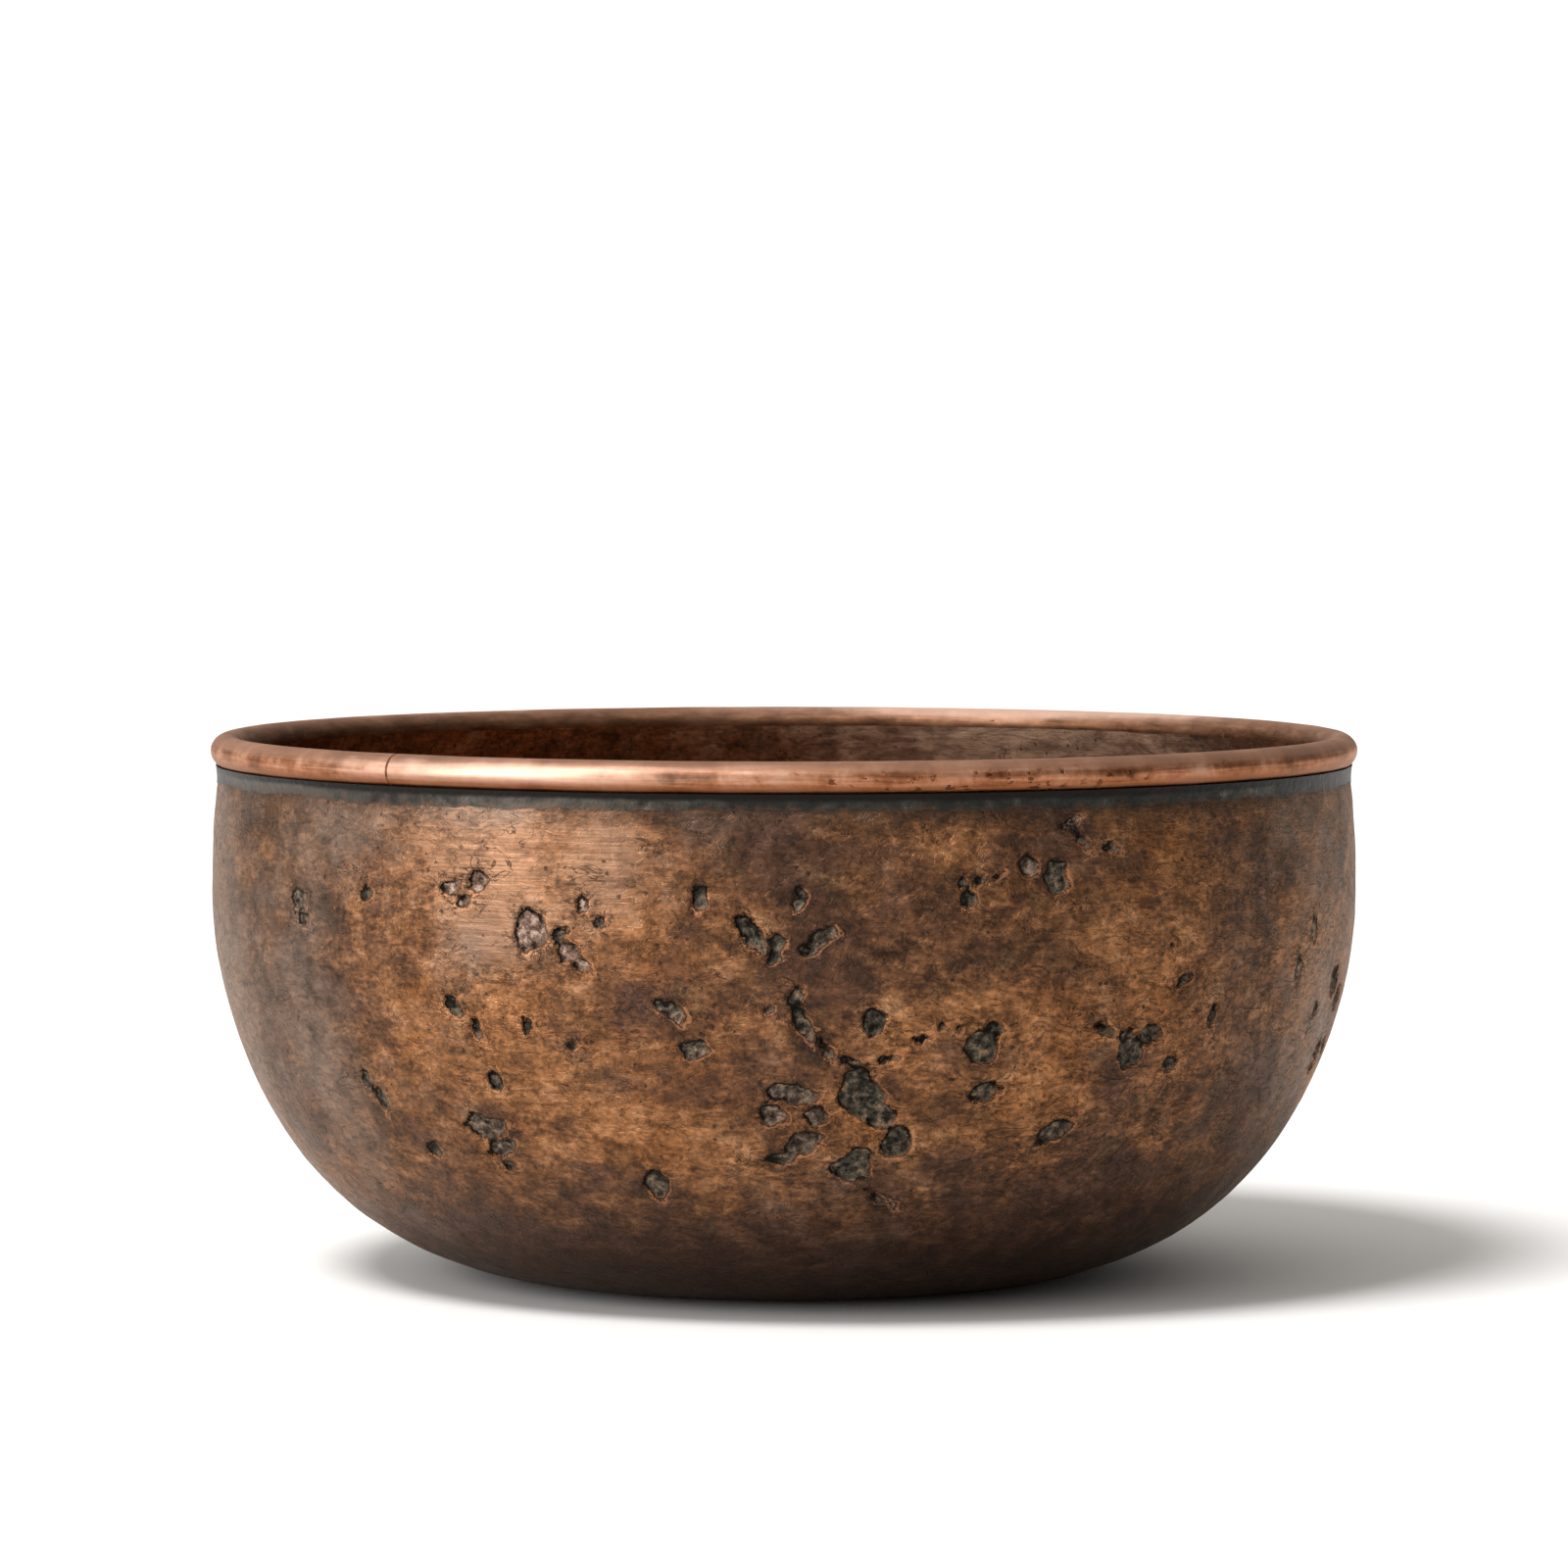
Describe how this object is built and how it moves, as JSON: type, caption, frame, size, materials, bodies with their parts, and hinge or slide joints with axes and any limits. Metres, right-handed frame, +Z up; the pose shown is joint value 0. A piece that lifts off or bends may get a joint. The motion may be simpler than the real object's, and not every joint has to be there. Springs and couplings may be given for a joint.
{
  "type": "hammered copper bowl",
  "caption": "Deep round hammered copper bowl with a flat base, full rounded sides and a thick wired rim.",
  "frame": {"origin": "centre of the flat base, on the surface that the bowl stands on", "axes": "+Z up along the bowl's axis of revolution, -Y the front; the rim's butt joint is at 41 degrees left of the front"},
  "size_m": [0.254, 0.254, 0.12],
  "materials": {
    "copper_patina": "hammered copper with a dark brown patina",
    "copper_bright": "burnished copper",
    "braze": "darkened braze",
    "core_wire": "drawn wire",
    "solder": "oxidised grey solder"
  },
  "bodies": {
    "root": {"bowl_shell": "copper_patina", "rim_sleeve": "copper_bright", "rim_joint_braze": "braze", "rim_core_wire": "core_wire", "inner_lip_band": "copper_patina", "outer_solder_seam": "solder", "band_solder_seam": "solder"}
  },
  "joints": []
}
